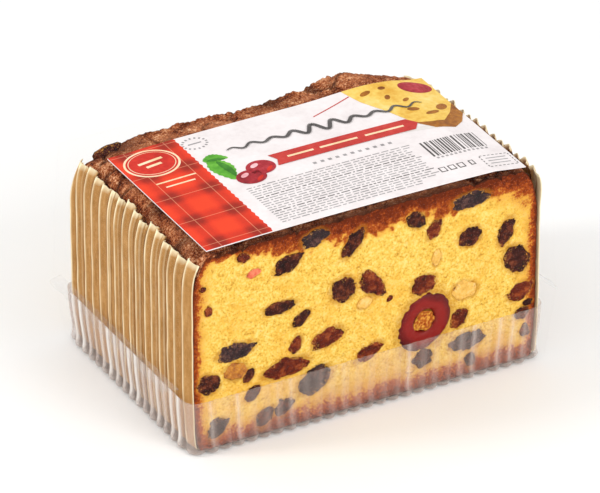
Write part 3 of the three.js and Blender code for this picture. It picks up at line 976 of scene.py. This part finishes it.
filmMaterial = makeClearMaterial("clearFilm", "f4f4f4", 0.0, 0.012, 0.1)
finMaterial = makeClearMaterial("crimpedFilm", "f2f1f0", 0.02, 0.16, 0.2, 0.3)
addPiece("clearFilm", filmBmesh(), filmMaterial, ["film"])
finPiece = addPiece("filmFins", finBmesh(), finMaterial)
finWall = finPiece.modifiers.new("thickness", "SOLIDIFY")
finWall.thickness = film["finThickness"] * mm
finWall.offset = 0
print("film wrapped")


labelLow, labelHigh = boxInMm("label")
label = {
    "x": labelLow.x,
    "y": labelLow.y,
    "width": labelHigh.x - labelLow.x,
    "depth": labelHigh.y - labelLow.y,
    "level": labelLow.z - 0.5,  # of its underside at the edges
    "droop": 1.4,              # of its right end
    "thickness": 0.35,
    "layer": 0.035,            # each print stands this much over the last
    "cut": 2.5,                # between the cuts that let a print follow the label
    "bandWidth": 25,
}


# A place on the label, from its front left corner, on a given layer of print.
def onLabel(along, back, layer=0):
    x, y = label["x"] + along, label["y"] + back
    level = label["level"] + max(0, crustLift(x, y)) - label["droop"] * max(0, along - 110) / 12
    return Vector((x, y, level + label["thickness"] + layer * label["layer"]))


def labelBmesh():
    bm = bmesh.new()
    bmesh.ops.create_grid(bm, x_segments=122, y_segments=70, size=0.5)
    for vert in bm.verts:
        vert.co = onLabel((vert.co.x + 0.5) * label["width"], (vert.co.y + 0.5) * label["depth"])
    grown = bmesh.ops.extrude_face_region(bm, geom=bm.faces[:])
    for vert in (item for item in grown["geom"] if isinstance(item, bmesh.types.BMVert)):
        vert.co.z -= label["thickness"]
    bmesh.ops.recalc_face_normals(bm, faces=bm.faces)
    return bm


# Adds a flat printed shape with the given outline to bm, divided so that it follows the label.
def addPrint(bm, outline, layer, materialIndex=0):
    verts = [bm.verts.new((along, back, 0)) for along, back in outline]
    face = bm.faces.new(verts)
    face.normal_update()
    if face.normal.z < 0:
        face.normal_flip()
    made = [face]
    lows = [min(point[i] for point in outline) for i in (0, 1)]
    highs = [max(point[i] for point in outline) for i in (0, 1)]
    for i in (0, 1):
        normal = (1, 0, 0) if i == 0 else (0, 1, 0)
        cut = math.ceil(lows[i] / label["cut"] + 1e-6) * label["cut"]
        while cut < highs[i] - 1e-6:
            at = (cut, 0, 0) if i == 0 else (0, cut, 0)
            geometry = set(made)
            for one in made:
                geometry.update(one.verts)
                geometry.update(one.edges)
            split = bmesh.ops.bisect_plane(bm, geom=list(geometry), plane_co=at, plane_no=normal)
            made = list({item for item in split["geom"] if isinstance(item, bmesh.types.BMFace)})
            cut += label["cut"]
    for one in made:
        one.material_index = materialIndex
    for vert in {v for one in made for v in one.verts}:
        vert.co = onLabel(vert.co.x, vert.co.y, layer)


def rectangle(along, back, width, depth, tilt=0):
    turn = Matrix.Rotation(math.radians(tilt), 2)
    corners = [Vector((x * width / 2, y * depth / 2)) for x, y in ((-1, -1), (1, -1), (1, 1), (-1, 1))]
    return [(along + (turn @ c).x, back + (turn @ c).y) for c in corners]


def ellipse(along, back, width, depth, segments=40, tilt=0.0):
    turn = Matrix.Rotation(math.radians(tilt), 2)
    points = []
    for i in range(segments):
        at = i / segments * 2 * math.pi
        spot = turn @ Vector((width * math.cos(at), depth * math.sin(at)))
        points.append((along + spot.x, back + spot.y))
    return points


def makePrintMaterial(name, stops):
    material, tree, shader = newMaterial(name, Roughness=0.4, Specular_IOR_Level=0.15)
    grain = grainMask(tree, 600, 120, 0.6)
    tree.links.new(rampNode(tree, grain, stops), shader.inputs["Base Color"])
    return material


def makeTartanMaterial():
    material, tree, shader = newMaterial("tartanPrint", Roughness=0.4, Specular_IOR_Level=0.15)
    place = addNode(tree, "TexCoord").outputs["Object"]
    axes = addNode(tree, "SeparateXYZ", Vector=place)
    masks = []
    for axis, offset, period in (("X", label["x"] + 6, 15.0), ("Y", label["y"] + 3, 16.5)):
        share = mathNode(tree, "SUBTRACT", axes.outputs[axis], offset * mm)
        share = mathNode(tree, "FRACT", mathNode(tree, "MULTIPLY", share, 1 / (period * mm)))
        masks.append(mathNode(tree, "ABSOLUTE", mathNode(tree, "SUBTRACT", share, 0.5)))
    bands = []
    for mask in masks:
        band = addNode(tree, "MapRange", {"interpolation_type": "SMOOTHSTEP"},
                       Value=mask, From_Min=0.16, From_Max=0.4)
        bands.append(band.outputs["Result"])
    dark = mathNode(tree, "ADD", *bands)
    dark = mathNode(tree, "MULTIPLY", dark, 0.5)
    weave = grainMask(tree, 1400, 200, 0.4)
    woven = mathNode(tree, "MULTIPLY", mathNode(tree, "SUBTRACT", weave, 0.5), 0.5)
    dark = mathNode(tree, "ADD", dark, woven, clamp=True)
    tone = rampNode(tree, dark, [(0.0, "f0421c"), (0.35, "e43718"), (0.7, "c42c14"), (1.0, "9c220e")])
    threads = []
    for mask in masks:
        threads.append(mathNode(tree, "GREATER_THAN", mask, 0.49))
    thread = mathNode(tree, "MAXIMUM", *threads)
    tone = mixColour(tree, mathNode(tree, "MULTIPLY", thread, 0.4), tone, colour("ffb48a"))
    tree.links.new(tone, shader.inputs["Base Color"])
    return material


printTones = {
    "white": [(0.3, "e8dfde"), (0.5, "f1e9e8"), (0.7, "f8f1f0")],
    "ink": [(0.3, "4a4644"), (0.5, "5c5856"), (0.7, "6e6a68")],
    "faint": [(0.3, "8b8686"), (0.5, "a39e9e"), (0.7, "b9b4b4")],
    "cream": [(0.3, "f3c894"), (0.5, "f9dcb4"), (0.7, "ffeccf")],
    "badgeRed": [(0.3, "b81c14"), (0.5, "cf2a1c"), (0.7, "e23a28")],
    "ribbonRed": [(0.3, "b32c28"), (0.5, "c83a33"), (0.7, "d64a40")],
    "leaf": [(0.3, "3f8a20"), (0.5, "62b033"), (0.7, "93d058")],
    "leafDark": [(0.3, "28661a"), (0.5, "3d8424"), (0.7, "57a034")],
    "cherryPrint": [(0.3, "7c1420"), (0.5, "a8242e"), (0.7, "cc4650")],
    "cherryGlint": [(0.3, "e59aa0"), (0.5, "f2bcc0"), (0.7, "fbdcde")],
    "cakePrint": [(0.3, "e2a93a"), (0.5, "f4cc62"), (0.7, "fbe08c")],
    "cakeBrown": [(0.3, "7c4414"), (0.5, "a9681f"), (0.7, "cf9134")],
    "cloth": [(0.3, "d9d2cc"), (0.5, "e6dfda"), (0.7, "efeae6")],
}
printMaterials = {name: makePrintMaterial(name + "Ink", tones) for name, tones in printTones.items()}


def addPrintPiece(name, shapes):
    names = []
    bm = bmesh.new()
    for outline, layer, tone in shapes:
        if tone not in names:
            names.append(tone)
        addPrint(bm, outline, layer, names.index(tone))
    chosen = [tartanMaterial if tone == "tartan" else printMaterials[tone] for tone in names]
    return addPiece(name, bm, chosen, smooth=False)


tartanMaterial = makeTartanMaterial()
addPiece("stiffLabel", labelBmesh(), printMaterials["white"], ["label"], smooth=False)


# The red band: its inner edge is pinked like cut cloth.
def pinkedBand():
    outline = [(0.05, 0.05), (label["bandWidth"], 0.05)]
    teeth = 50
    for i in range(teeth):
        back = label["depth"] * (i + 0.5) / teeth
        outline.append((label["bandWidth"] + (0.45 if i % 2 else 0), back))
    outline += [(label["bandWidth"], label["depth"] - 0.05), (0.05, label["depth"] - 0.05)]
    return outline


def badgeShapes():
    centre = (11.3, 59.8)
    rings = ((9.9, 9.0, "cream"), (9.1, 8.2, "badgeRed"), (8.4, 7.5, "cream"), (8.1, 7.2, "badgeRed"))
    shapes = [(ellipse(*centre, w, d, 64), 2 + i, tone) for i, (w, d, tone) in enumerate(rings)]
    for offset, width in ((1.4, 9.5), (-1.6, 6)):
        shapes.append((rectangle(centre[0], centre[1] + offset, width, 1.3, 6), 6, "cream"))
    return shapes


def leafOutline(along, back, length, width, tilt, bend):
    turn = Matrix.Rotation(math.radians(tilt), 2)
    points = []
    for side in (1, -1):
        steps = range(0, 15) if side > 0 else range(13, 0, -1)
        for i in steps:
            share = i / 14
            swell = math.sin(math.pi * share ** 0.8) ** 0.9 * width / 2
            teeth = 0.06 * width * (i % 2)
            across = side * (swell + teeth) + bend * math.sin(math.pi * share)
            spot = turn @ Vector((length * (share - 0.5), across))
            points.append((along + spot.x, back + spot.y))
    return points


def fruitPictureShapes():
    shapes = [
        (leafOutline(29.6, 44, 16, 7.6, -84, 0.8), 1, "leaf"),
        (leafOutline(31.2, 43.6, 13, 2.6, -84, 0.6), 2, "leafDark"),
        (leafOutline(31, 51.4, 9, 5, -12, 0.9), 2, "leaf"),
        (leafOutline(31, 50.8, 7, 1.6, -12, 0.3), 3, "leafDark"),
    ]
    for along, back, width, depth in ((41.8, 39.2, 5.3, 4.6), (36, 35, 5.4, 4.6)):
        shapes.append((ellipse(along, back, width, depth), 3, "cherryPrint"))
        glint = ellipse(along - 1.6, back + 1.8, width * 0.34, depth * 0.22, 20, 30)
        shapes.append((glint, 4, "cherryGlint"))
        shapes.append((ellipse(along + 2.2, back - 2.2, width * 0.4, depth * 0.16, 20, 40), 4, "badgeRed"))
    return shapes


# The band that crosses the label, with notched ends.
def ribbonShapes():
    left, right, middle, half = 47.5, 102.2, 41, 3.8
    ends = [(left, -half), (right - 1.5, -half), (right + 1.4, 0), (right - 1.5, half),
            (left, half), (left + 1.6, 0)]
    outline = [(along, middle + offset) for along, offset in ends]
    shapes = [(outline, 5, "ribbonRed")]
    for start, end in ((53, 63), (65.5, 80), (83, 98)):
        shapes.append((rectangle((start + end) / 2, middle, end - start, 1.1), 6, "cream"))
    return shapes


# One long plain wave where a title would be.
def waveShapes():
    start, end, level, height, steps = 37, 112, 54.6, 2.8, 240
    middle, weight = [], []
    for i in range(steps + 1):
        share = i / steps
        taper = math.sin(math.pi * share) ** 0.5
        rise = height * taper * (0.7 + 0.3 * math.cos(share * 13)) * math.sin(share * 19 * math.pi)
        middle.append(Vector((start + (end - start) * share, level - 1.5 * share + rise)))
        weight.append(0.15 + 0.6 * taper)
    shapes = []
    for i in range(steps):
        along = (middle[i + 1] - middle[i]).normalized()
        across = Vector((-along.y, along.x))
        corners = [middle[i] + across * weight[i], middle[i] - across * weight[i],
                   middle[i + 1] - across * weight[i + 1], middle[i + 1] + across * weight[i + 1]]
        shapes.append(([tuple(corner) for corner in corners], 8, "ink"))
    return shapes


def cakePictureShapes():
    edge = label["width"] - 0.1
    far = label["depth"] - 0.1
    slab = [(90, far), (93, 62), (98, 53), (102.5, 41.5), (107.5, 35.3), (114, 33.2), (118.5, 36.5),
            (edge, 42), (edge, far)]
    brown = [(102.5, 41.5), (107.5, 35.3), (114, 33.2), (118.5, 36.5), (edge, 42), (edge, 50), (118, 44),
             (113, 39), (108.5, 39.5)]
    shapes = [
        (rectangle(101, 37.2, 18, 2.4, -8), 1, "cloth"),
        (slab, 2, "cakePrint"),
        (brown, 3, "cakeBrown"),
        (ellipse(115.6, 64.2, 6.0, 4.2, 30, -25), 3, "cherryPrint"),
        (ellipse(117.2, 48.5, 2.6, 1.8, 16, 40), 3, "cakeBrown"),
        (rectangle(82.5, 63.8, 18, 0.45, 19), 2, "ribbonRed"),
    ]
    spots = ((97, 66, 2.4, 1.1, 20), (103, 61, 1.6, 1.0, 60), (107, 50, 2.2, 1.2, -20),
             (112, 45.5, 2.8, 1.1, 10), (104, 67, 1.4, 1, 0), (108, 57, 1.5, 0.9, 30))
    for along, back, width, depth, tilt in spots:
        shapes.append((ellipse(along, back, width, depth, 14, tilt), 3, "cakeBrown"))
    return shapes


# Rows of short grey bars where small print would be.
def smallPrintShapes():
    shapes = []
    for row in range(18):
        back = 3.6 + row * 1.46
        along = 30.5
        while along < 91 - (8 if row < 2 else 0):
            length = random.uniform(0.6, 3.4)
            tone = "ink" if row % 7 == 5 else "faint"
            shapes.append((rectangle(along + length / 2, back, length, 0.5), 1, tone))
            along += length + random.uniform(0.4, 0.9)
    for i in range(11):
        shapes.append((rectangle(59 + i * 2.9, 32.8, 1.3, 1.3), 1, "faint"))
    for i in range(16):
        turn = i / 16 * 2 * math.pi
        spot = (30 + 4.4 * math.cos(turn), 64.4 + 3.6 * math.sin(turn))
        shapes.append((rectangle(*spot, 0.9, 0.7, math.degrees(turn)), 1, "faint"))
    shapes.append((rectangle(30, 64.4, 5, 0.7), 1, "faint"))
    for back, width in ((46.5, 15), (43.2, 11)):
        shapes.append((rectangle(13.5, back, width, 0.8), 2, "cream"))
    return shapes


# Bars of even depth, a plain bar under them, and a box of dashes.
def markShapes():
    shapes = []
    along = 96.5
    while along < 117.5:
        width = random.choice((0.28, 0.28, 0.5, 0.75))
        shapes.append((rectangle(along + width / 2, 22.8, width, 10.4), 1, "ink"))
        along += width + random.choice((0.35, 0.5, 0.8))
    for i in range(12):
        shapes.append((rectangle(97.5 + i * 1.7, 16.4, 0.9, 1.1), 1, "faint"))
    for start, width in ((93.5, 2.6), (97, 2.6), (100.5, 2.6), (105, 1.9)):
        shapes.append((rectangle(start + width / 2, 8.5, width, 3.2), 1, "ink"))
        shapes.append((rectangle(start + width / 2, 8.5, width - 0.9, 2.3), 2, "white"))
    for i in range(7):
        for back in (3.0, 11.0):
            shapes.append((rectangle(110.6 + i * 1.6, back, 0.95, 0.35), 1, "ink"))
    for i in range(5):
        for side in (109.9, 121):
            shapes.append((rectangle(side, 3.8 + i * 1.6, 0.35, 0.95), 1, "ink"))
    for i in range(3):
        shapes.append((rectangle(115.4, 5.2 + i * 1.9, 7.6, 0.5), 1, "faint"))
    return shapes


addPrintPiece("printBand", [(pinkedBand(), 1, "tartan")])
addPrintPiece("printBadge", badgeShapes())
addPrintPiece("printFruit", fruitPictureShapes())
addPrintPiece("printCakePicture", cakePictureShapes())
addPrintPiece("printRibbon", ribbonShapes())
addPrintPiece("printWave", waveShapes())
addPrintPiece("printSmallRows", smallPrintShapes())
addPrintPiece("printMarks", markShapes())
print("label printed")


studio = {
    "floor": "fbfbfa",
    "world": 0.8,
    "aim": (-1.3, 0.3, 40.2),
    "azimuth": 28.89,
    "elevation": 30.26,
    "distance": 2200,
    "lens": 387.9,
}


def makeFloor():
    bm = bmesh.new()
    bmesh.ops.create_grid(bm, x_segments=1, y_segments=1, size=6)
    mesh = bpy.data.meshes.new("floor")
    bm.to_mesh(mesh)
    bm.free()
    floorPiece = bpy.data.objects.new("floor", mesh)
    scene.collection.objects.link(floorPiece)
    material, _, _ = newMaterial("paleFloor", Base_Color=colour(studio["floor"]), Roughness=0.9)
    mesh.materials.append(material)


def addSoftLight(name, place, target, size, power):
    light = bpy.data.lights.new(name, "AREA")
    light.shape = "DISK"
    light.size = size
    light.energy = power
    lamp = bpy.data.objects.new(name, light)
    lamp.location = place
    lamp.rotation_euler = (Vector(target) - Vector(place)).to_track_quat("-Z", "Y").to_euler()
    scene.collection.objects.link(lamp)


def addCamera():
    azimuth, elevation = math.radians(studio["azimuth"]), math.radians(studio["elevation"])
    away = Vector((-math.sin(azimuth) * math.cos(elevation), -math.cos(azimuth) * math.cos(elevation),
                   math.sin(elevation)))
    aim = Vector(studio["aim"]) * mm
    view = bpy.data.cameras.new("camera")
    view.lens = studio["lens"]
    view.sensor_width = 36
    view.clip_end = 20
    lens = bpy.data.objects.new("camera", view)
    lens.location = aim + away * studio["distance"] * mm
    lens.rotation_euler = (-away).to_track_quat("-Z", "Y").to_euler()
    scene.collection.objects.link(lens)
    scene.camera = lens


makeFloor()
world = bpy.data.worlds.new("studio")
world.use_nodes = True
world.node_tree.nodes["Background"].inputs["Color"].default_value = (1, 1, 1, 1)
world.node_tree.nodes["Background"].inputs["Strength"].default_value = studio["world"]
scene.world = world
addSoftLight("keyLight", (0.3, -1.0, 0.7), (0, 0, 0.04), 0.6, 5.5)
addSoftLight("leftLight", (-1.0, 0.35, 0.7), (0, 0, 0.04), 0.35, 5)
addCamera()
print("studio ready")
